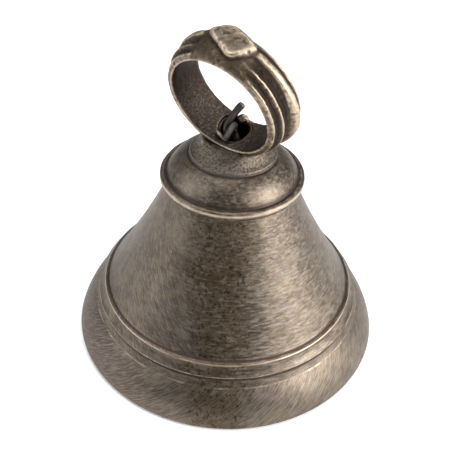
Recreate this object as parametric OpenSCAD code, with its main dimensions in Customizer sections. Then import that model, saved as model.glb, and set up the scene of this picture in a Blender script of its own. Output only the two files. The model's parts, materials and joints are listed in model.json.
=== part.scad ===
// Hand bell with a finger ring: turned brass shell, cast ring handle and a free-hanging clapper.
// Millimetres, +Z up. The origin is the centre of the rim's resting plane.

/* [Shell] */
// Outer radius of the rim
rim_r = 37.5; // [36.5:0.1:39]
// Wall thickness of the cone
wall_t = 2.6; // [2.2:0.1:3]
// Height where the flare ends and the ridges start
flare_h = 8.7; // [8:0.1:9.4]
// Outer radius at the top of the flare
flare_top_r = 32.8; // [32.6:0.1:33.2]
// Crest radius of the lower ridge
low_ridge_r = 32.1; // [31.9:0.1:32.4]
// Crest height of the lower ridge
low_ridge_z = 11.5; // [11.3:0.1:11.7]
// Crest radius of the upper ridge
top_ridge_r = 30.5; // [30.3:0.1:30.8]
// Crest height of the upper ridge
top_ridge_z = 13.95; // [13.8:0.05:14.1]
// Radius of the cone at its foot
cone_foot_r = 28.75; // [28.4:0.05:29]
// Radius of the cone under the bead
cone_top_r = 14.5; // [14:0.1:15]
// Radius of the collar bead
bead_r = 16.5; // [16.2:0.1:16.8]
// Height of the collar bead's middle
bead_z = 44.6; // [44.4:0.1:44.8]

/* [Ring handle] */
// Radius of the finger opening
loop_r = 11.4; // [11:0.1:11.8]
// Half width of the band
band_half_w = 4.65; // [4.4:0.05:5]
// Thickness of the band at its edges
band_edge_t = 1.5; // [1.3:0.1:1.8]
// Thickness of the band at its middle ridge
band_crest_t = 3; // [2.8:0.1:3.3]
// Turn of the ring's axis away from the front
ring_turn = 34; // [28:1:40]
// Forward lean of the ring
ring_lean = 17; // [14:0.5:18]
// Radius of the neck's collar on the dome
collar_r = 9.7; // [9.4:0.1:10]

/* [Fittings] */
// Radius of the hole through the eyelet
eyelet_bore_r = 3.3; // [3.1:0.1:3.5]
// Thickness of the eyelet's tube
eyelet_t = 0.8; // [0.7:0.1:1]
// Diameter of the iron wire
wire_d = 1.5; // [1.3:0.1:1.6]
// Direction of the hairpin's plane, from +X
wire_turn = 10; // [0:1:20]

/* [Clapper] */
// Radius of the striker ball
ball_r = 5.2; // [4.8:0.1:5.6]
// Height of the striker ball's centre
ball_z = 10; // [9:0.5:12]
// Diameter of the clapper's rod
rod_d = 2.4; // [2.1:0.1:2.8]

/* [Hidden] */
$fn = 96;
brass = "#8d7c62";
iron = "#4a4543";

// Shell heights and radii that follow from the ridges
lip_h = 0.8;
cone_foot_z = 15.4;
cone_top_z = 42.2;
crown_z = 50.1;
crown_under_z = 46.9;
crown_under_r = 9.5;
groove_r = top_ridge_r - 0.9;
groove_z = top_ridge_z + 0.35;

// Middle of the finger opening
loop_centre = [-1, -3.1, 65.9];

// Eyelet, staple and clapper heights, from the top down
eyelet_r = eyelet_bore_r + eyelet_t;
lip_top_z = 55.6;
floor_clear_z = 57.2;
wire_r = wire_d / 2;
leg_half_gap = 1.75;
bend_z = 43.3;
leg_top_z = 53.2;
back_knee = [-1.75, 2.05, 55.1];
back_tip = [1.6, 4.26, 59.6];
front_knee = [0.2, 1.4, 56];
front_tip = [-2.3, -3.4, 54.4];
link_wire_r = 0.7;
link_r = 2.8;
hang_gap = 0.12;
link_z = bend_z + wire_r + link_wire_r + hang_gap - link_r;
eye_wire_r = 0.8;
eye_r = 2.2;
eye_z = link_z - link_r + link_wire_r + eye_wire_r + hang_gap - eye_r;
peen_r = 1.9;
peen_h = 1.0;

// Points of a shallow bow from p to q that stands out by sag at its middle
function bow(p, q, sag, steps = 8) =
    let (d = q - p, out = [d.y, -d.x] / norm(d))
    [for (i = [0 : steps]) let (t = i / steps) p + t * d + out * sag * 4 * t * (1 - t)];

// Radius of the cone's outside at height z, waisted between foot and top
waist = 0.75;
function cone_outer_r(z) =
    let (t = (z - cone_foot_z) / (cone_top_z - cone_foot_z))
    cone_foot_r + t * (cone_top_r - cone_foot_r) - waist * 4 * t * (1 - t);

shell_outside = concat(
    bow([rim_r - 0.8, 0], [rim_r, lip_h], 0.2, 4),
    bow([rim_r, lip_h], [flare_top_r, flare_h], 0.6, 8),
    bow([flare_top_r, flare_h], [low_ridge_r - 0.4, low_ridge_z - 0.6], -0.12, 4),
    bow([low_ridge_r, low_ridge_z], [top_ridge_r + 0.1, top_ridge_z - 0.4], -0.2, 6),
    [[top_ridge_r, top_ridge_z], [groove_r, groove_z], [cone_foot_r + 0.25, cone_foot_z - 0.5]],
    [for (i = [0 : 14]) let (z = cone_foot_z + i / 14 * (cone_top_z - cone_foot_z)) [cone_outer_r(z), z]],
    [[cone_top_r + 0.5, cone_top_z + 0.5]],
    bow([bead_r - 0.3, bead_z - 1.4], [bead_r - 0.8, bead_z + 1.2], 0.45, 8),
    bow([bead_r - 1.9, bead_z + 1.35], [collar_r - 0.4, crown_z], 0.6, 8));

shell_inside = concat(
    [[crown_under_r, crown_under_z]],
    bow([crown_under_r, crown_under_z], [cone_outer_r(40) - wall_t, 40], 0.3, 4),
    [for (i = [1 : 12]) let (z = 40 - i / 12 * 25) [cone_outer_r(max(z, cone_foot_z)) - wall_t - 0.3, z]],
    bow([flare_top_r - 4.6, 12], [rim_r - 1.8, 0], -0.8, 8));

module bell_body() color(brass)
    rotate_extrude($fn = 128)
        difference() {
            polygon(concat([[0, 0]], shell_outside, [[0, crown_z]]));
            polygon(concat([[0, -1], [0, crown_under_z]], shell_inside, [[rim_r - 1.8, -1]]));
            translate([0, crown_under_z - 1]) square([eyelet_r, crown_z - crown_under_z + 2]);
        }

// Cross-section of the band: x runs outwards from the finger opening, y across the band
module band_section() {
    bead = band_edge_t / 2;
    polygon([[0, -band_half_w + bead], [0, band_half_w - bead], [band_edge_t, band_half_w - bead],
             [band_crest_t - 0.9, 2.4], [band_crest_t - 0.9, -2.4], [band_edge_t, -band_half_w + bead]]);
    for (side = [-1, 1]) translate([bead, side * (band_half_w - bead)]) circle(bead);
    translate([band_crest_t - 1.2, 1.4]) circle(1.2);
    translate([band_crest_t - 1.3, -1.9]) circle(0.8);
}

module band()
    rotate_extrude() translate([loop_r, 0]) band_section();

// Lozenge boss on the crown of the ring, with a bevelled edge
module boss() {
    corners = [[-5.4, 0.8], [-2.2, 3.7], [3.9, 1.3], [0.9, -3.1]];
    round_r = 1.1;
    top_z = 14.4;
    tip = 5.7;
    translate([2.5, 0.2, top_z - 1.9]) rotate([0, tip, 0])
        hull()
            for (layer = [[0, 0.6], [1.4, 0.4], [1.8, 0]])
                translate([0, 0, layer[0]])
                    linear_extrude(0.1)
                        for (corner = corners)
                            translate(corner) circle(round_r + layer[1], $fn = 32);
}

module in_ring() translate(loop_centre) rotate([0, 0, -ring_turn]) rotate([ring_lean, 0, 0]) children();

module ring_handle() color(brass)
    difference() {
        union() {
            in_ring() {
                rotate([90, 0, 0]) band();
                boss();
            }
            difference() {
                rotate_extrude()
                    polygon(concat([[0, crown_z], [collar_r, crown_z]],
                        bow([collar_r, crown_z + 0.5], [7.2, 53.4], -0.5, 6),
                        [[5.6, 54.9], [5.1, 56.2], [0, 56.2]]));
                in_ring() rotate([90, 0, 0]) cylinder(r = loop_r, h = 6 * band_half_w, center = true);
            }
        }
        translate([0, 0, crown_z - 1]) cylinder(r = eyelet_r, h = floor_clear_z - crown_z + 1);
    }

module solder_seam() color("#4e473d")
    rotate_extrude()
        translate([collar_r - 0.15, crown_z - 0.1]) circle(0.35, $fn = 24);

module eyelet_rivet() color("#b09a6c")
    rotate_extrude() {
        translate([eyelet_bore_r, crown_under_z - 0.8]) square([eyelet_t, lip_top_z - crown_under_z + 0.4]);
        translate([eyelet_bore_r, crown_under_z - 0.8]) square([2, 0.8]);
        translate([eyelet_bore_r + 0.6, lip_top_z - 0.6]) circle(0.6, $fn = 32);
    }

// Straight round bar between two points, with a slightly swollen bend at its start
module bar(from, to, radius) {
    d = to - from;
    swell = 0.06;
    translate(from) {
        sphere(radius + swell, $fn = 48);
        rotate([0, acos(d.z / norm(d)), atan2(d.y, d.x)]) cylinder(r = radius, h = norm(d), $fn = 32);
    }
}

module wire_staple() color(iron) {
    rotate([0, 0, wire_turn]) {
        translate([0, 0, bend_z + leg_half_gap])
            rotate([90, 0, 0]) rotate([0, 0, 180])
                rotate_extrude(angle = 180) translate([leg_half_gap, 0]) circle(wire_r, $fn = 32);
        for (side = [-1, 1])
            translate([side * leg_half_gap, 0, bend_z + leg_half_gap])
                cylinder(r = wire_r, h = leg_top_z - bend_z - leg_half_gap, $fn = 32);
    }
    leg = leg_half_gap * [cos(wire_turn), sin(wire_turn), 0];
    bar([0, 0, leg_top_z] - leg, back_knee, wire_r);
    bar(back_knee, back_tip, wire_r);
    bar([0, 0, leg_top_z] + leg, front_knee, wire_r);
    bar(front_knee, front_tip, wire_r);
}

module clapper_link() color(iron)
    rotate([0, 0, wire_turn]) translate([0, 0, link_z]) rotate([0, 90, 0])
        rotate_extrude() translate([link_r, 0]) circle(link_wire_r, $fn = 32);

module clapper_rod() color(iron)
    rotate([0, 0, wire_turn]) {
        translate([0, 0, eye_z]) rotate([90, 0, 0])
            rotate_extrude() translate([eye_r, 0]) circle(eye_wire_r, $fn = 32);
        rod_top = eye_z - eye_r - 0.3;
        rod_low = ball_z - ball_r - 0.3;
        translate([0, 0, rod_low]) cylinder(r = rod_d / 2, h = rod_top - rod_low);
        translate([0, 0, rod_low + 0.3 - peen_h]) cylinder(r = peen_r, h = peen_h);
    }

module clapper_ball() color("#a08a5e")
    difference() {
        translate([0, 0, ball_z]) sphere(ball_r);
        cylinder(r = rod_d / 2, h = ball_z + 2 * ball_r);
        cylinder(r = peen_r, h = ball_z - ball_r);
    }

bell_body();
ring_handle();
solder_seam();
eyelet_rivet();
wire_staple();
clapper_link();
clapper_rod();
clapper_ball();
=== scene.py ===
"""Looks of a small brass hand bell: an aged turned shell, a rough cast finger ring and an iron clapper."""

import json
import math

import bpy
import numpy as np
from mathutils import Matrix, Vector, noise


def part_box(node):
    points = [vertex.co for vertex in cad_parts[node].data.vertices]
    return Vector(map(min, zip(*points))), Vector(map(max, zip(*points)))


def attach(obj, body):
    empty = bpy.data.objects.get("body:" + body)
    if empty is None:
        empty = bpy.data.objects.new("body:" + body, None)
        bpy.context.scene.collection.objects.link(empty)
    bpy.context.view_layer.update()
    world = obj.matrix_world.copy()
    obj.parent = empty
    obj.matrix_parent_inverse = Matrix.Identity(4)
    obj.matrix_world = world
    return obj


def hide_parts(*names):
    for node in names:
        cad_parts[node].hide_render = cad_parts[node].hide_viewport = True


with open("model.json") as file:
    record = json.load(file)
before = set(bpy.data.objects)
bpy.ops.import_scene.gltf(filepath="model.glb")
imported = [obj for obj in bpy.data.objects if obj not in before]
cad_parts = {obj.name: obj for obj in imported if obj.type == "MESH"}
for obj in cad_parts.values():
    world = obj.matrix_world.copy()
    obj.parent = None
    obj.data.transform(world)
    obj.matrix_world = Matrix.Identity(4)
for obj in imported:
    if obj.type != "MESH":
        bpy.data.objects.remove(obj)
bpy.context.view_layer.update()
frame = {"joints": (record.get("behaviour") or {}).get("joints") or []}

MM = 0.001
TURN = 2 * math.pi


# ---------- camera ----------

def make_camera():
    """Looks down on the bell from the front, with the slight roll of a hand-held frame."""
    distance, elevation, roll = 0.1949, math.radians(45.96), math.radians(2.41)
    target = Vector((-0.00116, 0, 0.02892))
    place = Vector((0, -distance * math.cos(elevation), distance * math.sin(elevation)))
    forward = (target - place).normalized()
    right = forward.cross(Vector((0, 0, 1))).normalized()
    up = right.cross(forward)
    rolled_right = right * math.cos(roll) + up * math.sin(roll)
    rolled_up = up * math.cos(roll) - right * math.sin(roll)
    data = bpy.data.cameras.new("camera")
    data.sensor_width = 36
    data.lens = 58.64
    camera = bpy.data.objects.new("camera", data)
    axes = Matrix((rolled_right, rolled_up, -forward)).transposed()
    camera.matrix_world = Matrix.Translation(place) @ axes.to_4x4()
    bpy.context.scene.collection.objects.link(camera)
    bpy.context.scene.camera = camera


make_camera()


# ---------- sizes, in millimetres ----------

def node_box(node):
    """The lowest and the highest corner of a CAD node."""
    low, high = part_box(node)
    return np.array(low) / MM, np.array(high) / MM


RIM_R = node_box("bell_body")[1][0]
CROWN_Z = node_box("bell_body")[1][2]
TUBE_LOW_Z = node_box("eyelet_rivet")[0][2]
BALL_LOW, BALL_HIGH = node_box("clapper_ball")
ROD_LOW, ROD_HIGH = node_box("clapper_rod")
LINK_LOW, LINK_HIGH = node_box("clapper_link")
JOINTS = {joint["name"]: joint for joint in frame["joints"]}
WIRE_DIRECTION = Vector(JOINTS["link_swing"]["axis"]).normalized()
BEND_Z = JOINTS["link_swing"]["pos_m"][2] / MM

# Dimensions that the boxes don't show, the same as in part.scad
COLLAR_R = 9.7
BORE_R = 4.1
TUBE_R = 3.3
WIRE_R = 0.75
LOOP_R = 11.4
BAND_HALF_W = 4.65
LOOP_CENTRE = Vector((-1.0, -3.1, 65.9))
RING_TURN, RING_LEAN = math.radians(-34), math.radians(17)
RING_AXES = Matrix.Rotation(RING_TURN, 4, "Z") @ Matrix.Rotation(RING_LEAN, 4, "X")
IN_RING = Matrix.Translation(LOOP_CENTRE) @ RING_AXES

# The top of the hole lies off the bell's axis by HOLE_SHIFT, and bends there between two heights
HOLE_SHIFT = (0.18, 0.8)
SHIFT_LOW_Z, SHIFT_HIGH_Z = 50.8, 54.0

# A short reach past the bore, so that two surfaces don't share one place
SKIN = 0.02

# Points closer than this are one point
SAME_PLACE = 0.01


# ---------- mesh helpers ----------

def bow(start, end, sag, steps):
    """Points from start to end on a shallow bow that stands out by sag."""
    start, end = np.array(start, float), np.array(end, float)
    along = end - start
    out = np.array([along[1], -along[0]]) / np.hypot(*along)
    return [tuple(start + t * along + out * sag * 4 * t * (1 - t)) for t in np.linspace(0, 1, steps + 1)]


def spaced(points, step):
    """The same open line with its points about step apart, corners kept."""
    dense = []
    for a, b in zip(points, points[1:]):
        a, b = np.array(a, float), np.array(b, float)
        length = np.hypot(*(b - a))
        count = max(1, int(round(length / step))) if length > SAME_PLACE else 0
        dense += [tuple(a + (b - a) * i / count) for i in range(count)]
    return dense + [tuple(points[-1])]


def floor_z(x, y):
    """Height of the finger opening's floor above a point, in millimetres."""
    axes = np.array(RING_AXES.to_3x3())
    across, up = axes[:, 0], axes[:, 2]
    x, y = x - LOOP_CENTRE.x, y - LOOP_CENTRE.y
    least_drop = 3
    drop = np.sqrt(np.maximum(LOOP_R ** 2 - (across[0] * x + across[1] * y) ** 2, least_drop ** 2))
    return LOOP_CENTRE.z - (drop + up[0] * x + up[1] * y) / up[2]


def smooth_step(value, low, high):
    """0 below low, 1 above high, and a smooth rise between."""
    t = np.clip((value - low) / (high - low), 0, 1)
    return t * t * (3 - 2 * t)


def grid_faces(rows, columns, closed_rows=True):
    """Quads of a grid that closes around its columns, and around its rows too if asked."""
    last = rows if closed_rows else rows - 1
    i, j = np.meshgrid(np.arange(last), np.arange(columns), indexing="ij")
    down, across = (i + 1) % rows, (j + 1) % columns
    corners = [i * columns + j, i * columns + across, down * columns + across, down * columns + j]
    return np.stack(corners, -1).reshape(-1, 4)


def mesh_object(name, points_mm, faces):
    """A new smooth object whose mesh has these points, given in millimetres."""
    mesh = bpy.data.meshes.new(name)
    mesh.from_pydata((np.asarray(points_mm) * MM).tolist(), [], [list(map(int, face)) for face in faces])
    mesh.update()
    mesh.polygons.foreach_set("use_smooth", [True] * len(mesh.polygons))
    thing = bpy.data.objects.new(name, mesh)
    bpy.context.scene.collection.objects.link(thing)
    return thing


def points_of(thing):
    """The mesh's points in millimetres, one row each."""
    flat = np.empty(len(thing.data.vertices) * 3)
    thing.data.vertices.foreach_get("co", flat)
    return flat.reshape(-1, 3) / MM


def set_points(thing, points_mm):
    thing.data.vertices.foreach_set("co", (points_mm * MM).ravel())
    thing.data.update()


def normals_of(thing):
    flat = np.empty(len(thing.data.vertices) * 3)
    thing.data.vertex_normals.foreach_get("vector", flat)
    return flat.reshape(-1, 3)


def noise_at(points_mm, size_mm, seed):
    """Smooth noise from -1 to 1 with lumps of about the given size."""
    shift = Vector((seed * 17.3, seed * 5.1, seed * 9.7))
    return np.array([noise.noise(Vector(p) / size_mm + shift) for p in points_mm])


def roughen(thing, lumps):
    """Pushes the surface along its normals by layers of (height, lump size) noise."""
    points, normals = points_of(thing), normals_of(thing)
    push = sum(height * noise_at(points, size, seed + 1) for seed, (height, size) in enumerate(lumps))
    set_points(thing, points + normals * push[:, None])


def smoothed(thing, values, rounds):
    """Values averaged over their neighbours along the mesh's edges."""
    ends = np.empty(len(thing.data.edges) * 2, int)
    thing.data.edges.foreach_get("vertices", ends)
    a, b = ends.reshape(-1, 2).T
    count = len(values)
    degree = np.maximum(np.bincount(a, minlength=count) + np.bincount(b, minlength=count), 1)
    for _ in range(rounds):
        values = np.stack([(np.bincount(a, column[b], count) + np.bincount(b, column[a], count)) / degree
                           for column in values.T], 1)
    return values


def mark_relief(thing, rounds, height_mm):
    """Stores how far each point stands out of its surroundings: 1 on edges, 0 in grooves, 0.5 between."""
    points = points_of(thing)
    proud = ((points - smoothed(thing, points, rounds)) * normals_of(thing)).sum(1)
    store(thing, "relief", np.clip(0.5 + 0.5 * proud / height_mm, 0, 1))


def relief_of(thing):
    values = np.empty(len(thing.data.vertices), np.float32)
    thing.data.attributes["relief"].data.foreach_get("value", values)
    return values


def store(thing, name, values):
    """Stores one number for each point, under the name by which a material reads it."""
    attributes = thing.data.attributes
    attribute = attributes.get(name) or attributes.new(name, "FLOAT", "POINT")
    attribute.data.foreach_set("value", values.astype(np.float32))


def lathe(name, outline_mm, segments, step):
    """A solid of revolution from a closed outline of (radius, height) points, set about step apart."""
    closed = [tuple(p) for p in outline_mm]
    outline = np.array(spaced(closed + closed[:1], step)[:-1])
    angle = np.arange(segments) / segments * TURN
    radius, height = outline[:, 0][:, None], outline[:, 1][:, None]
    heights = np.repeat(height, segments, 1)
    points = np.stack([radius * np.cos(angle), radius * np.sin(angle), heights], -1).reshape(-1, 3)
    return mesh_object(name, points, grid_faces(len(outline), segments))


def tube(name, path_mm, radius_at, sides, spread):
    """A closed round tube along a path. radius_at gives its radius, from 0 at its start to 1 at its end."""
    path = smooth_path(path_mm, spread)
    count = len(path)
    tangent = np.gradient(path, axis=0)
    tangent /= np.linalg.norm(tangent, axis=1)[:, None]
    any_other_way = (0.3, 0.5, 0.8)
    side = np.cross(tangent[0], any_other_way)
    rings = []
    for i in range(count):
        side = side - tangent[i] * side.dot(tangent[i])
        side /= np.linalg.norm(side)
        other = np.cross(tangent[i], side)
        angle = np.arange(sides) / sides * TURN
        size = radius_at(i / (count - 1))
        rings.append(path[i] + size * (np.cos(angle)[:, None] * side + np.sin(angle)[:, None] * other))
    points = np.concatenate([*rings, [path[0]], [path[-1]]])
    faces = [list(face) for face in grid_faces(count, sides, closed_rows=False)]
    first, last = count * sides, count * sides + 1
    faces += [[first, (j + 1) % sides, j] for j in range(sides)]
    faces += [[last, (count - 1) * sides + j, (count - 1) * sides + (j + 1) % sides] for j in range(sides)]
    return mesh_object(name, points, faces)


def smooth_path(points, step):
    """Catmull-Rom curve through the points, sampled about step apart."""
    points = [np.array(p, float) for p in points]
    points = [2 * points[0] - points[1], *points, 2 * points[-1] - points[-2]]
    path = []
    for a, b, c, d in zip(points, points[1:], points[2:], points[3:]):
        count = max(2, int(np.linalg.norm(c - b) / step))
        for t in np.arange(count) / count:
            path.append(0.5 * (2 * b + (c - a) * t + (2 * a - 5 * b + 4 * c - d) * t ** 2
                               + (3 * b - a - 3 * c + d) * t ** 3))
    return np.array(path + [points[-2]])


def fuse(name, things, voxel_mm, cutters=()):
    """One closed skin around all the solids, with the cutters taken away."""
    bpy.ops.object.select_all(action="DESELECT")
    for thing in things:
        thing.select_set(True)
    bpy.context.view_layer.objects.active = things[0]
    bpy.ops.object.join()
    whole = bpy.context.view_layer.objects.active
    whole.name = whole.data.name = name
    remesh(whole, voxel_mm)
    for cutter in cutters:
        cut = whole.modifiers.new("cut", "BOOLEAN")
        cut.operation, cut.solver, cut.object = "DIFFERENCE", "EXACT", cutter
        bpy.ops.object.modifier_apply(modifier=cut.name)
        bpy.data.objects.remove(cutter)
    if cutters:
        remesh(whole, voxel_mm)
    whole.data.polygons.foreach_set("use_smooth", [True] * len(whole.data.polygons))
    return whole


def remesh(thing, voxel_mm):
    """Replaces the mesh with one even skin."""
    bpy.context.view_layer.objects.active = thing
    change = thing.modifiers.new("skin", "REMESH")
    change.mode, change.voxel_size, change.adaptivity = "VOXEL", voxel_mm * MM, 0
    bpy.ops.object.modifier_apply(modifier=change.name)


# ---------- materials ----------

# Share of the radius taken from the height, so that strokes stay as close on a cone as on a dome
SLOPE_SHARE = 0.6

TAN = (0.21, 0.172, 0.134)
GREY_BROWN = (0.15, 0.127, 0.11)
OLIVE_BROWN = (0.088, 0.062, 0.034)
PURPLE_BROWN = (0.11, 0.08, 0.076)
UMBER = (0.068, 0.055, 0.045)
INNER_BROWN = (0.044, 0.034, 0.03)
# Dark brown for grime and painted shade in the shell's grooves
GROOVE_SHADE_AND_GRIME = (0.042, 0.024, 0.018)
SPECK = (0.045, 0.03, 0.018)
# Near black: grime, dark grit specks, and painted shade in hollows
GRIME_AND_SHADE = (0.022, 0.014, 0.009)
PALE = (0.27, 0.242, 0.21)
CHAMPAGNE = (0.56, 0.455, 0.345)
IRON, IRON_DARK, IRON_RUBBED = (0.055, 0.049, 0.048), (0.024, 0.021, 0.022), (0.13, 0.12, 0.115)
SOLDER, SOLDER_RUBBED = (0.05, 0.042, 0.035), (0.14, 0.125, 0.11)


class Nodes:
    """Short names for the shader nodes that the materials share. Places are in metres."""

    def __init__(self, name):
        self.material = bpy.data.materials.new(name)
        self.material.use_nodes = True
        self.tree = self.material.node_tree
        self.shader = self.tree.nodes["Principled BSDF"]

    def node(self, kind, links=(), **settings):
        made = self.tree.nodes.new(kind)
        for key, value in settings.items():
            setattr(made, key, value)
        for socket, value in links:
            if isinstance(value, bpy.types.NodeSocket):
                self.tree.links.new(value, made.inputs[socket])
            else:
                made.inputs[socket].default_value = value
        return made

    def math(self, operation, a, b=0.0, clamp=False):
        return self.node("ShaderNodeMath", [(0, a), (1, b)], operation=operation, use_clamp=clamp).outputs[0]

    def times(self, a, b):
        return self.math("MULTIPLY", a, b)

    def varied(self, value, texture, amount):
        """The value shifted up and down by a noise texture."""
        return self.math("ADD", value, self.times(self.math("SUBTRACT", texture, 0.5), amount))

    def ramp(self, value, low, high, bottom=0.0, top=1.0):
        """Value stretched smoothly so that low gives bottom and high gives top."""
        links = [("Value", value), ("From Min", low), ("From Max", high), ("To Min", bottom), ("To Max", top)]
        return self.node("ShaderNodeMapRange", links, interpolation_type="SMOOTHSTEP").outputs["Result"]

    def noise(self, where, scale, detail, roughness, distortion=0.0):
        made = self.node("ShaderNodeTexNoise", [("Vector", where), ("Scale", scale), ("Detail", detail),
                                                ("Roughness", roughness), ("Distortion", distortion)])
        return made.outputs["Fac"]

    def mix(self, factor, a, b):
        """Colour a, covered by colour b as far as factor says."""
        a, b = (value if isinstance(value, bpy.types.NodeSocket) else (*value, 1) for value in (a, b))
        return self.node("ShaderNodeMix", [(0, factor), (6, a), (7, b)], data_type="RGBA").outputs[2]

    def blend(self, factor, a, b):
        """The number a, or b where factor is 1."""
        return self.node("ShaderNodeMix", [(0, factor), (2, a), (3, b)]).outputs[0]

    def place(self):
        return self.node("ShaderNodeTexCoord").outputs["Object"]

    def stored(self, name):
        """A number that the mesh carries for each point."""
        return self.node("ShaderNodeAttribute", attribute_name=name).outputs["Fac"]

    def split(self, where):
        return self.node("ShaderNodeSeparateXYZ", [(0, where)]).outputs

    def vector(self, operation, links):
        return self.node("ShaderNodeVectorMath", links, operation=operation).outputs

    def twisted(self, where, turns):
        """Coordinates turned about the axis as they rise, which slants the lines drawn up the shell."""
        links = [("Vector", where), ("Angle", self.times(self.split(where)[2], turns))]
        return self.node("ShaderNodeVectorRotate", links, rotation_type="Z_AXIS").outputs[0]

    def around_axis(self, where, around, along):
        """Coordinates for lathe lines: slow around the axis, fast along the wall, with no seam."""
        x, y, z = self.split(where)
        flat = self.node("ShaderNodeCombineXYZ", [(0, x), (1, y)]).outputs[0]
        unit = self.vector("NORMALIZE", [(0, flat)])[0]
        ring = self.vector("SCALE", [(0, unit), ("Scale", around)])[0]
        radius = self.vector("LENGTH", [(0, flat)])["Value"]
        slope = self.math("SUBTRACT", z, self.times(radius, SLOPE_SHARE))
        height = self.node("ShaderNodeCombineXYZ", [(2, self.times(slope, along))]).outputs[0]
        return self.vector("ADD", [(0, ring), (1, height)])[0]

    def lines(self, where, around, along, detail=2.0, roughness=0.55, distortion=0.2):
        """Noise drawn out into strokes around the axis."""
        return self.noise(self.around_axis(where, around, along), 1.0, detail, roughness, distortion)

    def finish(self, colour, roughness, height, bump_mm, metallic=1.0):
        bump = self.node("ShaderNodeBump", [("Height", height), ("Distance", bump_mm * MM)])
        wanted = {"Normal": bump.outputs["Normal"], "Base Color": colour,
                  "Roughness": roughness, "Metallic": metallic}
        for socket, value in wanted.items():
            if isinstance(value, bpy.types.NodeSocket):
                self.tree.links.new(value, self.shader.inputs[socket])
            else:
                self.shader.inputs[socket].default_value = value
        return self.material


def shell_strokes(n, where, on_flare, on_left):
    """Tool marks of the shell: lathe strokes, scratches on its left, and slanted hatching on the flare."""
    strokes = n.lines(where, 12.0, 1800.0, 3.0, 0.6, 0.35)
    scratches = n.lines(n.twisted(where, 45.0), 90.0, 560.0)
    hatch = n.lines(n.twisted(where, -40.0), 160.0, 480.0)
    return n.blend(on_flare, n.blend(on_left, strokes, scratches), hatch)


def turned_brass():
    """The shell: lathe strokes, slanted hatching on the flare, brown tarnish, a front band that is part
    staining and part painted dark reflection, bright crests with painted highlight, dark grooves with painted
    shade.
    """
    n = Nodes("turned_brass")
    where = n.place()
    side, depth, up = n.split(where)
    mottle = n.noise(where, 420.0, 5.0, 0.65)
    blotch = n.noise(where, 130.0, 6.0, 0.62, 0.4)
    clouds = n.noise(where, 60.0, 4.0, 0.55)
    specks = n.noise(where, 1250.0, 3.0, 0.6)
    uneven_side = n.varied(side, blotch, 12 * MM)
    on_flare = n.ramp(n.varied(up, blotch, 6 * MM), 10.2 * MM, 8.6 * MM)
    on_left = n.ramp(uneven_side, -2 * MM, -14 * MM, 0.1, 0.75)
    grain = shell_strokes(n, where, on_flare, on_left)
    relief = n.stored("relief")
    wear_and_light = n.varied(relief, mottle, 0.5)

    # A tall dark band down the front, part staining and part painted reflection of the dark space in front of
    # the bell, fainter above the bead
    off_front_band = n.math("ABSOLUTE", n.math("ADD", uneven_side, 1.2 * MM))
    in_front = n.times(n.ramp(depth, 0.0, -6 * MM), n.ramp(up, 44.5 * MM, 43.5 * MM, 0.15, 1.0))
    stain_and_reflection = n.times(n.ramp(off_front_band, 9.5 * MM, 2.5 * MM), in_front)
    outside_front_band = n.ramp(stain_and_reflection, 0.0, 1.0, 1.0, 0.45)
    patina_and_reflection = n.math("ADD", n.ramp(blotch, 0.45, 0.66, 0.0, 0.32), n.times(stain_and_reflection, 0.62), clamp=True)

    colour = n.mix(n.ramp(mottle, 0.38, 0.62), TAN, GREY_BROWN)
    colour = n.mix(n.ramp(clouds, 0.52, 0.66, 0.0, 0.35), colour, PURPLE_BROWN)
    # Tarnish, deepest in the front band, which is partly painted reflection
    colour = n.mix(n.times(patina_and_reflection, n.ramp(mottle, 0.35, 0.6, 0.5, 1.0)), colour, OLIVE_BROWN)
    colour = n.mix(n.times(on_flare, n.ramp(side, -10 * MM, -28 * MM, 0.0, 0.5)), colour, PURPLE_BROWN)
    colour = n.mix(n.ramp(grain, 0.49, 0.36, 0.0, 0.68), colour, OLIVE_BROWN)
    colour = n.mix(n.times(n.ramp(grain, 0.51, 0.63, 0.0, 0.85), outside_front_band), colour, PALE)
    colour = n.mix(n.times(n.ramp(specks, 0.52, 0.66), n.ramp(stain_and_reflection, 0.0, 0.7, 0.12, 0.85)), colour, SPECK)
    # Grooves darkened with grime and painted shade, crests lightened by rubbing and painted highlight
    colour = n.mix(n.ramp(wear_and_light, 0.4, 0.12, 0.0, 0.9), colour, GROOVE_SHADE_AND_GRIME)
    colour = n.mix(n.ramp(wear_and_light, 0.68, 0.95, 0.0, 0.95), colour, CHAMPAGNE)
    rough = n.math("ADD", n.ramp(grain, 0.35, 0.65, 0.4, 0.52), n.times(patina_and_reflection, 0.08))
    height = n.math("ADD", grain, n.times(mottle, 0.6))
    return n.finish(colour, rough, height, 0.045, n.ramp(relief, 0.1, 0.4, 0.6, 1.0))


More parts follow.
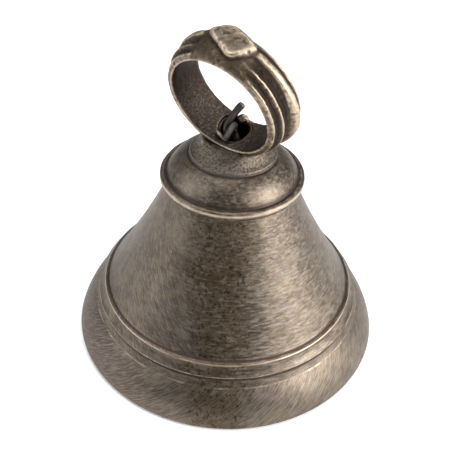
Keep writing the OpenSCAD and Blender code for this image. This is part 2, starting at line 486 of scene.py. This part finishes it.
def cast_brass():
    """The ring: granular cast skin, dark inside with painted shade towards the top of the opening, dark in its
    grooves with grime and painted shade, rubbed bright with painted highlight on its ridges.
    """
    n = Nodes("cast_brass")
    where = n.place()
    up = n.split(where)[2]
    inside = n.stored("inside")
    mottle = n.noise(where, 520.0, 6.0, 0.65, 0.3)
    lumps = n.noise(where, 230.0, 5.0, 0.6)
    grit = n.noise(where, 2100.0, 4.0, 0.75)
    wear_and_light = n.varied(n.stored("relief"), mottle, 0.45)
    on_neck = n.ramp(up, 54.5 * MM, 52.5 * MM)
    # Painted shade: the inside of the opening darkens towards its top, where it faces down
    roof_shade = n.times(inside, n.ramp(up, 58 * MM, 69 * MM, 0.0, 0.85))
    colour = n.mix(n.ramp(lumps, 0.35, 0.65), UMBER, OLIVE_BROWN)
    colour = n.mix(n.ramp(mottle, 0.5, 0.7, 0.0, 0.6), colour, PURPLE_BROWN)
    colour = n.mix(n.times(on_neck, n.ramp(grit, 0.4, 0.62, 0.2, 0.9)), colour, PALE)
    colour = n.mix(n.times(on_neck, n.ramp(lumps, 0.48, 0.36, 0.0, 0.55)), colour, OLIVE_BROWN)
    # Ridges lightened by rubbing and painted highlight, grooves darkened with grime and painted shade
    colour = n.mix(n.ramp(wear_and_light, 0.54, 0.74, 0.0, 0.55), colour, TAN)
    colour = n.mix(n.ramp(wear_and_light, 0.7, 1.0, 0.0, 0.88), colour, CHAMPAGNE)
    colour = n.mix(n.ramp(wear_and_light, 0.46, 0.2), colour, GRIME_AND_SHADE)
    colour = n.mix(n.times(inside, n.ramp(lumps, 0.3, 0.7, 0.55, 0.9)), colour, INNER_BROWN)
    colour = n.mix(n.times(inside, n.ramp(grit, 0.48, 0.66, 0.0, 0.38)), colour, PALE)
    colour = n.mix(roof_shade, colour, GRIME_AND_SHADE)
    colour = n.mix(n.ramp(grit, 0.43, 0.34, 0.0, 0.8), colour, GRIME_AND_SHADE)
    height = n.math("ADD", n.times(mottle, 0.8), n.times(grit, 0.8))
    rough, metallic = n.ramp(wear_and_light, 0.4, 0.85, 0.6, 0.34), n.ramp(wear_and_light, 0.25, 0.55, 0.7, 1.0)
    return n.finish(colour, rough, height, 0.14, metallic)


def dull_metal(name, base, dark, bright, bump_mm, rough_low, rough_high, worn_from=0.6):
    """Plainer metal for the small pieces: mottled, rubbed on its edges, dark with grime and painted shade in
    its hollows.
    """
    n = Nodes(name)
    where = n.place()
    mottle = n.noise(where, 800.0, 6.0, 0.65, 0.2)
    grain = n.noise(where, 3200.0, 3.0, 0.6)
    wear_and_light = n.varied(n.stored("relief"), mottle, 0.3)
    colour = n.mix(n.ramp(mottle, 0.35, 0.65), base, dark)
    # Edges lightened by rubbing, hollows darkened with grime and painted shade
    colour = n.mix(n.ramp(wear_and_light, worn_from, worn_from + 0.2, 0.0, 0.85), colour, bright)
    colour = n.mix(n.ramp(wear_and_light, 0.4, 0.2), colour, GRIME_AND_SHADE)
    height = n.math("ADD", mottle, n.times(grain, 0.4))
    return n.finish(colour, n.ramp(mottle, 0.3, 0.7, rough_low, rough_high), height, bump_mm)


# ---------- the shell ----------

# Places on the turned section, as (radius, height)
FLARE_TOP = (32.8, 8.7)
LOW_RIDGE_FOOT, LOW_RIDGE = (31.55, 10.85), (32.1, 11.55)
TOP_RIDGE_FOOT, TOP_RIDGE = (30.62, 13.5), (30.5, 13.9)
CONE_FOOT, CONE_TOP, WAIST = (28.75, 15.4), (14.5, 42.2), 0.75
BEAD = (16.33, 44.45)
DOME_FOOT, DOME_TOP_R = (14.8, 45.3), 9.3
RIM_EDGE = 0.8
RIM_WALL, CONE_WALL, CROWN_WALL = 1.8, 2.9, 2.6
CEILING_Z = 46.9
SHELL_COLUMNS = 320

# Where the shell is lighter (+, rubbed bright with painted highlight) and darker (-, grime with painted shade
# in grooves and under ridges): radius, height, reach and strength
SHELL_WEAR_AND_LIGHT = (
    (*TOP_RIDGE, 0.26, 0.45),
    (*BEAD, 0.48, 0.42),
    (*LOW_RIDGE, 0.3, 0.35),
    (32.75, 8.8, 0.3, 0.3),       # top edge of the flare
    (29.7, 14.28, 0.36, -0.5),    # painted shade line above the upper ridge
    (31.68, 10.68, 0.5, -0.5),    # painted shadow line under the lower ridge
    (15.05, 45.1, 0.42, -0.5),    # groove between bead and dome, grime and painted shade
    (15.8, 45.1, 0.4, 0.14),      # top of the bead, painted highlight
    (14.6, 45.8, 0.6, -0.22),     # foot of the dome, painted shade
    (14.75, 42.4, 0.5, -0.3),     # corner under the bead, painted shadow
    (9.9, 49.95, 0.6, -0.4))      # line round the collar, painted shade where the collar meets the dome


def cone_r(height):
    """The cone's outer radius, waisted between its foot and its top."""
    t = (height - CONE_FOOT[1]) / (CONE_TOP[1] - CONE_FOOT[1])
    return CONE_FOOT[0] + t * (CONE_TOP[0] - CONE_FOOT[0]) - WAIST * 4 * t * (1 - t)


def shell_outline():
    """The turned section: lip, flare, two ridges, waisted cone, bead, dome, then back down the inside."""
    outside = bow((RIM_R - RIM_EDGE, 0), (RIM_R, RIM_EDGE), 0.2, 5)
    outside += bow((RIM_R, RIM_EDGE), FLARE_TOP, 0.6, 16)
    outside += bow(FLARE_TOP, LOW_RIDGE_FOOT, -0.1, 12)
    outside += [(31.5, 11.05), (31.75, 11.25), (32.05, 11.38)]
    outside += bow(LOW_RIDGE, TOP_RIDGE_FOOT, -0.14, 10)
    outside += [(30.56, 13.7), TOP_RIDGE, (30.3, 14.05), (29.95, 14.15)]
    outside += [(29.65, 14.3), (29.35, 14.55), (29.12, 14.85)]
    outside += [(cone_r(z), z) for z in np.linspace(CONE_FOOT[1], CONE_TOP[1], 24)]
    outside += [(14.75, 42.6), (15.4, 42.85)] + bow((15.9, 43.1), BEAD, 0.2, 7)
    outside += [(16.3, 44.7), (16.15, 44.92), (15.9, 45.08), (15.6, 45.14)]
    outside += [(15.3, 45.1), (15.1, 45.03), (14.93, 45.08)]
    outside += bow(DOME_FOOT, (DOME_TOP_R, CROWN_Z), 0.7, 18)
    inside = [(DOME_TOP_R, CROWN_Z), (BORE_R + SKIN, CROWN_Z), (BORE_R + SKIN, CEILING_Z)]
    inside += bow((9.5, CEILING_Z), (cone_r(40) - CROWN_WALL, 40), 0.3, 4)
    inside += [(cone_r(max(z, CONE_FOOT[1])) - CONE_WALL, z) for z in np.linspace(38, 15, 12)]
    inside += bow((28.2, 12), (RIM_R - RIM_WALL, 0), -0.8, 8)
    return spaced(outside, 0.42) + spaced(inside, 0.9)[1:]


def make_shell():
    """The turned shell, a little out of round and hammered, with its rim and its bore kept true."""
    shell = lathe("bell_shell", shell_outline(), SHELL_COLUMNS, 1.0)
    points = points_of(shell)
    angle = np.arctan2(points[:, 1], points[:, 0])
    radius, height = np.hypot(points[:, 0], points[:, 1]), points[:, 2].copy()
    # Listed marks: rubbing with painted highlight on crests, grime with painted shade in grooves and under
    # ridges
    wear_and_painted_light = sum(strength * np.exp(-((radius - r) ** 2 + (height - z) ** 2) / reach ** 2)
               for r, z, reach, strength in SHELL_WEAR_AND_LIGHT)
    around = np.stack([np.cos(angle), np.sin(angle), height / 30], 1)
    close_around = np.stack([3 * around[:, 0], 3 * around[:, 1], height * 2.2], 1)
    out_of_round = 0.06 * noise_at(around, 1.0, 3) + 0.03 * noise_at(around, 0.45, 4)
    hammered = 0.035 * noise_at(points, 4.0, 5) + 0.014 * noise_at(points, 1.2, 6)
    lathe_lines = 0.006 * noise_at(close_around, 1.0, 7)
    free = np.clip((radius - BORE_R) / 4, 0, 1) * np.clip(height / 2, 0, 1)
    points[:, :2] *= (1 + (out_of_round + lathe_lines) * free / np.maximum(radius, 1))[:, None]
    set_points(shell, points + normals_of(shell) * (hammered * free)[:, None])
    store(shell, "relief", 0.5 + wear_and_painted_light)
    return shell


# ---------- the ring handle ----------

# Angles round the band, in degrees: the boss is at the top
BOSS_AT = 88
SHOULDER_AT, SHOULDER_REACH = -8, 32

# Middle, half width and height of the ridges (+) and furrows (-), from -1 at the band's back to 1 at its front
RIDGES = ((0.88, 0.1, 0.5), (0.46, 0.13, 0.8), (-0.88, 0.09, 0.4), (0.16, 0.08, -0.3), (-0.68, 0.06, -0.25))
WIDE_RIDGE_AT, WIDE_RIDGE_HALF, WIDE_RIDGE_H = -0.3, 0.25, 1.15
DARK_FURROWS = (0.67, 0.18, -0.68)


def band_thickness(f, angle):
    """Thickness of the band at f across it (front +1, back -1) and at an angle around it (top 90 degrees)."""
    degrees = math.degrees(angle)
    ridged = smooth_step(70 - 10 * f - degrees, 0, 22)
    if degrees > BOSS_AT:
        ridged = smooth_step(degrees, 108, 116)
    plain = 1.15 + 0.75 * (1 - f * f) + 0.6 * (1 - ridged) * (1 - f ** 4)
    ridges = sum(height * np.exp(-((f - middle) / half) ** 2) for middle, half, height in RIDGES)
    wide_ridge = WIDE_RIDGE_H * np.exp(-((f - WIDE_RIDGE_AT) / WIDE_RIDGE_HALF) ** 4)
    shoulder = 1.15 * math.exp(-((degrees - SHOULDER_AT) / SHOULDER_REACH) ** 2) * np.clip(0.6 - f, 0, 1)
    return plain + (ridges + wide_ridge) * ridged + shoulder


def make_band():
    """The oval-sectioned band swept round the finger opening."""
    columns, outer_count, inner_count = 360, 61, 25
    edge_r, wrap_at = 0.35, math.radians(268)
    f = np.concatenate([np.linspace(-1, 1, outer_count), np.linspace(1, -1, inner_count)[1:-1]])
    outer_side = np.arange(len(f)) < outer_count
    rounding = np.sqrt(np.clip(1 - np.abs(f) ** 14, 0, 1))
    rows = []
    for angle in np.arange(columns) / columns * TURN:
        thickness = band_thickness(f, angle if angle < wrap_at else angle - TURN)
        r = np.where(outer_side, LOOP_R + edge_r + (thickness - edge_r) * rounding,
                     LOOP_R + edge_r * np.abs(f) ** 6)
        rows.append(np.stack([r * math.cos(angle), -f * BAND_HALF_W, r * math.sin(angle)], 1))
    return mesh_object("band", np.concatenate(rows), grid_faces(columns, len(f)))


def rounded(corners, count, rounds):
    """A closed outline through the corners, resampled and with its corners softened."""
    corners = np.array(corners, float)
    sides = np.linalg.norm(np.roll(corners, -1, 0) - corners, axis=1)
    stops = np.concatenate([[0], np.cumsum(sides)])
    closed = np.concatenate([corners, corners[:1]])
    at = np.arange(count) / count * stops[-1]
    outline = np.stack([np.interp(at, stops, closed[:, k]) for k in (0, 1)], 1)
    for _ in range(rounds):
        outline = 0.5 * outline + 0.25 * (np.roll(outline, 1, 0) + np.roll(outline, -1, 0))
    return outline


# The boss, in the ring's own directions: its corners about its middle, and (size, height) from foot to top
BOSS_MIDDLE, BOSS_SLOPE, BOSS_FOOT_R, BOSS_SIDES = np.array((2.5, 0.2)), 0.1, 12.3, 96
BOSS_CORNERS = [(-6.6, 1.0), (-2.6, 4.6), (4.9, 1.7), (1.3, -3.7)]
BOSS_LAYERS = [(1.08, 10.0), (1.08, 12.9), (1.06, 13.6), (1.03, 13.95), (0.99, 14.15), (0.93, 14.25),
               (0.8, 14.3), (0.4, 14.32), (0.1, 14.32)]


def make_boss():
    """A rounded lozenge plateau on the ring's crown, skewed, and tipped down to the right."""
    plan = rounded(BOSS_CORNERS, BOSS_SIDES, 46)
    rows = [np.column_stack([BOSS_MIDDLE + plan * size, height - BOSS_SLOPE * plan[:, 0] * size])
            for size, height in BOSS_LAYERS]
    rows[0][:, 2] = np.sqrt(BOSS_FOOT_R ** 2 - rows[0][:, 0] ** 2)
    caps = [[(*BOSS_MIDDLE, BOSS_LAYERS[-1][1])], [(*BOSS_MIDDLE, BOSS_FOOT_R - 0.3)]]
    count, sides = len(BOSS_LAYERS), range(BOSS_SIDES)
    last_row, top, foot = (count - 1) * BOSS_SIDES, count * BOSS_SIDES, count * BOSS_SIDES + 1
    faces = [list(face)[::-1] for face in grid_faces(count, BOSS_SIDES, closed_rows=False)]
    faces += [[last_row + (j + 1) % BOSS_SIDES, last_row + j, top] for j in sides]
    faces += [[j, (j + 1) % BOSS_SIDES, foot] for j in sides]
    return mesh_object("boss", np.concatenate([*rows, *caps]), faces)


def make_neck():
    """The flared foot under the ring, kept below the floor of the finger opening."""
    under_floor = 1.35
    outline = [(0.4, CROWN_Z), (COLLAR_R, CROWN_Z), (COLLAR_R + 0.05, CROWN_Z + 0.3)]
    outline += bow((COLLAR_R - 0.05, CROWN_Z + 0.55), (7.2, 53.4), -0.4, 6)
    outline += [(6.2, 54.7), (5.6, 56.2), (0.4, 56.2)]
    neck = lathe("neck", outline, 128, 0.5)
    points = points_of(neck)
    points[:, 2] = np.minimum(points[:, 2], floor_z(points[:, 0], points[:, 1]) - under_floor)
    set_points(neck, points)
    return neck


def lean_back(points):
    """Moves the upper part of the hole and its tube towards the back of the band, as the real one sits."""
    share = smooth_step(points[:, 2], SHIFT_LOW_Z, SHIFT_HIGH_Z)
    points[:, 0] += HOLE_SHIFT[0] * share
    points[:, 1] += HOLE_SHIFT[1] * share
    return points


def make_hole():
    """The solid that is cut out of the ring's floor and neck for the eyelet."""
    outline = [(0.3, 49), (BORE_R + SKIN, 49), (BORE_R + SKIN, 52.3), (3.78, 53.8), (3.78, 58), (0.3, 58)]
    hole = lathe("hole", outline, 64, 0.5)
    set_points(hole, lean_back(points_of(hole)))
    return hole


def make_ring():
    """Band, boss and neck in one skin with lumps and pits; its rubbing, painted highlight, painted shade and
    inside are marked for the material.
    """
    band, boss, neck = make_band(), make_boss(), make_neck()
    to_metres, to_mm = (Matrix.Diagonal((unit, unit, unit, 1)) for unit in (MM, 1 / MM))
    for thing in (band, boss):
        thing.data.transform(to_metres @ IN_RING @ to_mm)
    ring = fuse("ring_casting", [band, boss, neck], 0.17, [make_hole()])
    points = points_of(ring)
    local = (points - np.array(LOOP_CENTRE)) @ np.array(RING_AXES.to_3x3())
    from_loop = np.hypot(local[:, 0], local[:, 2])
    degrees = np.degrees(np.arctan2(local[:, 2], local[:, 0]))

    # The cast skin, left smooth at the hole and at the collar's foot
    from_hole = np.hypot(points[:, 0] - HOLE_SHIFT[0], points[:, 1] - HOLE_SHIFT[1])
    away = np.clip((from_hole - BORE_R - 0.3) / 1.5, 0, 1)
    above = np.clip((points[:, 2] - CROWN_Z - 0.2) / 1.0, 0, 1)
    lumps = 0.07 * noise_at(points, 2.6, 8) + 0.045 * noise_at(points, 0.9, 9)
    pits = -0.22 * np.clip(noise_at(points, 0.8, 10) - 0.3, 0, 1)
    set_points(ring, points + normals_of(ring) * ((lumps + pits) * away * above)[:, None])

    # Rubbing and painted light: crests, edges and the boss's top are rubbed bright with painted highlight, the
    # furrows are darkened with grime and painted shade, and the neck is dull
    mark_relief(ring, 22, 0.2)
    across = -local[:, 1] / BAND_HALF_W
    clear_of_boss = smooth_step(np.abs(degrees - BOSS_AT), 26, 36)
    on_band = clear_of_boss * smooth_step(-from_loop, -16.0, -15.4) * smooth_step(points[:, 2], 52.5, 55)
    mid_band = smooth_step(-np.abs(across), -0.7, -0.55)
    crests = smooth_step(from_loop - LOOP_R, 2.45, 2.95) * on_band * mid_band
    edges = on_band * smooth_step(np.abs(across), 0.74, 0.84)
    boss_top = (1 - clear_of_boss) * smooth_step(from_loop, 13.9, 14.2)
    furrows = sum(np.exp(-((across - f) / 0.1) ** 2) for f in DARK_FURROWS)
    furrows = furrows * on_band * smooth_step(from_loop - LOOP_R, 1.2, 1.6)
    contrast = np.where(points[:, 2] < 53, 0.35, 1.0)
    wear_and_painted_light = 0.28 * crests + 0.06 * edges + 0.17 * boss_top - 0.22 * furrows
    store(ring, "relief", np.clip(0.5 + (relief_of(ring) - 0.5) * contrast + wear_and_painted_light, 0, 1))
    near_opening = smooth_step(-from_loop, -(LOOP_R + 0.75), -(LOOP_R + 0.3))
    between_edges = smooth_step(-np.abs(local[:, 1]), -4.5, -4.1)
    store(ring, "inside", near_opening * between_edges)
    return ring


# ---------- small fittings ----------

def make_seam():
    """A rough fillet of solder round the foot of the collar."""
    middle_r, middle_z, fillet_r = COLLAR_R - 0.15, CROWN_Z - 0.1, 0.34
    sides = 14
    outline = [(middle_r + fillet_r * math.cos(a), middle_z + fillet_r * math.sin(a))
               for a in np.arange(sides) / sides * TURN]
    seam = lathe("solder_bead", outline, 220, 0.2)
    roughen(seam, [(0.08, 1.5), (0.05, 0.5)])
    mark_relief(seam, 4, 0.04)
    return seam


# Where the eyelet's lip is torn up into a flake, in degrees, and where a lump of brass sits on it
FLAKE_AT, FLAKE_HALF, FLAKE_H = -148, 24, 1.6
LUMP_AT, LUMP_SIZE = np.array((1.75, 3.7, 56.3)), np.array((1.3, 1.0, 0.95))


def make_tube():
    """The eyelet's tube with its flange below and its lip above, the lip following the sloping floor."""
    low, top, straight_z = TUBE_LOW_Z, 56.58, 51
    flange = [(TUBE_R, low), (5.2, low), (5.25, low + 0.4), (5.0, low + 0.78), (4.05, low + 0.8)]
    lip = [(4.05, 52.3), (3.72, 53.8), (3.72, 55.7), (3.8, 56.1), (3.7, 56.42), (3.45, top), (3.22, 56.42),
           (3.12, 56.0), (3.12, 53.8), (TUBE_R, 52.3)]
    tube_skin = lathe("eyelet", flange + lip, 160, 0.22)
    points = points_of(tube_skin)
    angle = np.degrees(np.arctan2(points[:, 1], points[:, 0]))
    flake = np.exp(-((angle - FLAKE_AT) / FLAKE_HALF) ** 2)
    points = lean_back(points)
    near_lip = np.clip((points[:, 2] - straight_z) / (top - straight_z), 0, 1)
    points[:, 2] -= near_lip * (top - floor_z(points[:, 0], points[:, 1]) + 0.12 - FLAKE_H * flake)
    widen = near_lip ** 5 * 0.3 * flake
    points[:, 0] += (points[:, 0] - HOLE_SHIFT[0]) * widen
    points[:, 1] += (points[:, 1] - HOLE_SHIFT[1]) * widen
    set_points(tube_skin, points)
    return tube_skin


def make_eyelet():
    """The brass tube in the hole: its lip is abraded down to the floor except for a torn flake and a lump."""
    tube_skin = make_tube()
    half_round = [(math.sin(a), -math.cos(a)) for a in np.linspace(0.15, math.pi - 0.15, 14)]
    lump = lathe("lump", [(0.02, -1)] + half_round + [(0.02, 1)], 32, 0.3)
    set_points(lump, points_of(lump) * LUMP_SIZE + LUMP_AT)
    eyelet = fuse("eyelet", [tube_skin, lump], 0.12)
    roughen(eyelet, [(0.09, 1.2), (0.05, 0.4)])
    mark_relief(eyelet, 8, 0.09)
    points = points_of(eyelet)
    angle = np.degrees(np.arctan2(points[:, 1], points[:, 0]))
    above_floor = smooth_step(points[:, 2] - floor_z(points[:, 0], points[:, 1]), -0.2, 0.5)
    on_flake = np.exp(-((angle - FLAKE_AT) / 30) ** 2) * above_floor
    on_lump = smooth_step(-np.linalg.norm((points - LUMP_AT) / LUMP_SIZE, axis=1), -1.5, -1.1)
    bright = np.clip(on_flake + on_lump, 0, 1)
    store(eyelet, "relief", np.clip(relief_of(eyelet) * 0.5 + bright * 0.34, 0, 1))
    return eyelet


def make_staple():
    """An iron hairpin: its bend hangs in the bell, and its two legs cross over and lie out over the lip."""
    bend_r = 1.75
    leg = np.array(WIRE_DIRECTION) * bend_r
    up = np.array((0, 0, 1.0))
    leg_top = up * 49.5
    bend = [leg * math.cos(a) + up * (BEND_Z + bend_r + bend_r * math.sin(a))
            for a in np.linspace(math.pi, TURN, 9)]
    left = [(1.6, 4.26, 59.6), (0.5, 3.9, 58.4), (-0.7, 3.1, 57.0), (-1.75, 2.05, 55.2), (-1.9, 0.7, 53.0),
            tuple(leg_top - leg)]
    right = [tuple(leg_top + leg), (0.9, 0.9, 52.0), (-0.1, 1.5, 54.2), (-0.05, 1.5, 55.8),
             (-0.75, -0.2, 55.9), (-1.4, -1.6, 55.2), (-2.05, -2.85, 54.55)]

    def radius_at(t):
        """Swollen at the left end, and rounded off at both."""
        knob, rounding = max(0.0, 1 - t * 16), max(0.0, 1 - min(t, 1 - t) * 120)
        return WIRE_R * (1.03 + 0.16 * knob - 0.3 * rounding)

    staple = tube("staple", left + bend + right, radius_at, 18, 0.22)
    roughen(staple, [(0.05, 1.5), (0.03, 0.4)])
    mark_relief(staple, 6, 0.04)
    return staple


def torus(name, centre, plane_x, radius, wire, segments=120, sides=28):
    """A closed ring of wire that stands upright in the plane of plane_x and Z."""
    around = np.arange(segments) / segments * TURN
    out = np.cos(around)[:, None] * np.array(plane_x) + np.sin(around)[:, None] * np.array((0, 0, 1.0))
    axis = np.cross(plane_x, (0, 0, 1))
    rings = [centre + out * radius + wire * (math.cos(a) * out + math.sin(a) * axis)
             for a in np.arange(sides) / sides * TURN]
    return mesh_object(name, np.concatenate(rings), grid_faces(sides, segments))


def make_link():
    """A forged iron ring that hangs on the staple's bend, square to it."""
    centre = np.array((0, 0, (LINK_LOW[2] + LINK_HIGH[2]) / 2))
    wire = 0.7
    radius = (LINK_HIGH[2] - LINK_LOW[2]) / 2 - wire
    link = torus("link", centre, (-WIRE_DIRECTION.y, WIRE_DIRECTION.x, 0), radius, wire)
    roughen(link, [(0.03, 1.2), (0.015, 0.4)])
    mark_relief(link, 8, 0.04)
    return link


def make_rod():
    """The clapper's forged rod, with its eye above and its peened end under the ball."""
    wire, radius = 0.8, 2.2
    eye_z = ROD_HIGH[2] - wire - radius
    eye = torus("eye", np.array((0, 0, eye_z)), tuple(WIRE_DIRECTION), radius, wire, 96, 24)
    low, foot, eye_foot = ROD_LOW[2], BALL_LOW[2], eye_z - radius
    outline = [(0.15, low), (1.75, low + 0.1), (1.88, low + 0.5), (1.75, foot + 0.02), (1.18, foot + 0.3),
               (1.18, BALL_HIGH[2]), (1.1, 24), (0.95, 33), (0.9, eye_foot + 0.1), (0.15, eye_foot + 0.2)]
    rod = fuse("rod", [eye, lathe("shank", outline, 48, 0.5)], 0.14)
    roughen(rod, [(0.04, 1.6), (0.02, 0.5)])
    mark_relief(rod, 12, 0.06)
    return rod


def make_ball():
    """The striker: a hammered ball with a hole for the rod."""
    middle = (BALL_LOW[2] + BALL_HIGH[2]) / 2
    size = (BALL_HIGH[0] - BALL_LOW[0]) / 2
    hole_r = 1.22
    start = math.asin((hole_r + 0.03) / size)
    outline = [(size * 0.985 * math.sin(a), middle - size * 0.97 * math.cos(a))
               for a in np.linspace(start * 1.6, math.pi - start, 40)]
    low, high = outline[0][1], outline[-1][1]
    ball = lathe("ball", outline + [(hole_r, high - 0.3), (hole_r, low + 0.9), (1.9, low + 0.6)], 120, 0.25)
    points = points_of(ball)
    free = np.clip((np.hypot(points[:, 0], points[:, 1]) - 2) / 1.5, 0, 1)
    push = 0.07 * noise_at(points, 2.2, 11) + 0.02 * noise_at(points, 0.6, 12)
    set_points(ball, points + normals_of(ball) * (push * free)[:, None])
    mark_relief(ball, 14, 0.08)
    return ball


# ---------- assembly ----------

def put(piece, node, body, material):
    """Gives a piece its material, and says which CAD node it replaces and which body it rides on."""
    piece.data.materials.clear()
    piece.data.materials.append(material)
    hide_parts(node)
    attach(piece, body)


iron = dull_metal("iron", IRON, IRON_DARK, IRON_RUBBED, 0.05, 0.45, 0.62)
old_brass = dull_metal("old_brass", UMBER, OLIVE_BROWN, CHAMPAGNE, 0.09, 0.5, 0.66, 0.56)
solder = dull_metal("solder", SOLDER, GRIME_AND_SHADE, SOLDER_RUBBED, 0.06, 0.5, 0.7)

put(make_shell(), "bell_body", "bell", turned_brass())
put(make_ring(), "ring_handle", "bell", cast_brass())
put(make_seam(), "solder_seam", "bell", solder)
put(make_eyelet(), "eyelet_rivet", "bell", old_brass)
put(make_staple(), "wire_staple", "bell", iron)
put(make_link(), "clapper_link", "link", iron)
put(make_rod(), "clapper_rod", "clapper", iron)
put(make_ball(), "clapper_ball", "clapper", old_brass)


# ---------- studio ----------

def make_floor():
    """A wide white floor that glows a little, so that it stays plain."""
    half = 3.0
    corners = [(-half, -half, 0), (half, -half, 0), (half, half, 0), (-half, half, 0)]
    mesh = bpy.data.meshes.new("floor")
    mesh.from_pydata(corners, [], [(0, 1, 2, 3)])
    floor = bpy.data.objects.new("floor", mesh)
    bpy.context.scene.collection.objects.link(floor)
    material = bpy.data.materials.new("floor")
    material.use_nodes = True
    shader = material.node_tree.nodes["Principled BSDF"]
    shader.inputs["Base Color"].default_value = (0.93, 0.93, 0.93, 1)
    shader.inputs["Roughness"].default_value = 0.9
    shader.inputs["Emission Color"].default_value = (1, 1, 1, 1)
    shader.inputs["Emission Strength"].default_value = 0.2
    mesh.materials.append(material)


def area_light(name, place, size, power, colour=(1, 1, 1)):
    """A soft box that faces the middle of the bell."""
    data = bpy.data.lights.new(name, "AREA")
    data.shape = "RECTANGLE"
    data.size, data.size_y = size
    data.energy = power
    data.color = colour
    lamp = bpy.data.objects.new(name, data)
    lamp.location = place
    middle_of_bell = Vector((0, 0, 0.03))
    lamp.rotation_euler = (middle_of_bell - Vector(place)).to_track_quat("-Z", "Y").to_euler()
    bpy.context.scene.collection.objects.link(lamp)


def make_world():
    """A white tent, darker towards its opening at the front and left."""
    world = bpy.data.worlds.new("tent")
    bpy.context.scene.world = world
    world.use_nodes = True
    tree = world.node_tree
    direction = tree.nodes.new("ShaderNodeTexCoord").outputs["Generated"]
    facing = tree.nodes.new("ShaderNodeVectorMath")
    facing.operation = "DOT_PRODUCT"
    facing.inputs[1].default_value = (0.3, 0.95, 0)
    tree.links.new(direction, facing.inputs[0])
    opening = tree.nodes.new("ShaderNodeMapRange")
    opening.interpolation_type = "SMOOTHSTEP"
    for key, value in (("From Min", -0.98), ("From Max", -0.3), ("To Min", 0.5), ("To Max", 3.2)):
        opening.inputs[key].default_value = value
    tree.links.new(facing.outputs["Value"], opening.inputs["Value"])
    tree.links.new(opening.outputs["Result"], tree.nodes["Background"].inputs["Strength"])


make_floor()
make_world()
area_light("left_box", (-0.5, -0.1, 0.35), (0.35, 0.5), 1.45)
area_light("right_box", (0.5, -0.2, 0.3), (0.4, 0.5), 5.0, (1, 0.97, 0.93))
area_light("top_box", (0.0, 0.15, 0.7), (0.5, 0.5), 3.3)
bpy.context.scene.view_settings.view_transform = "Standard"
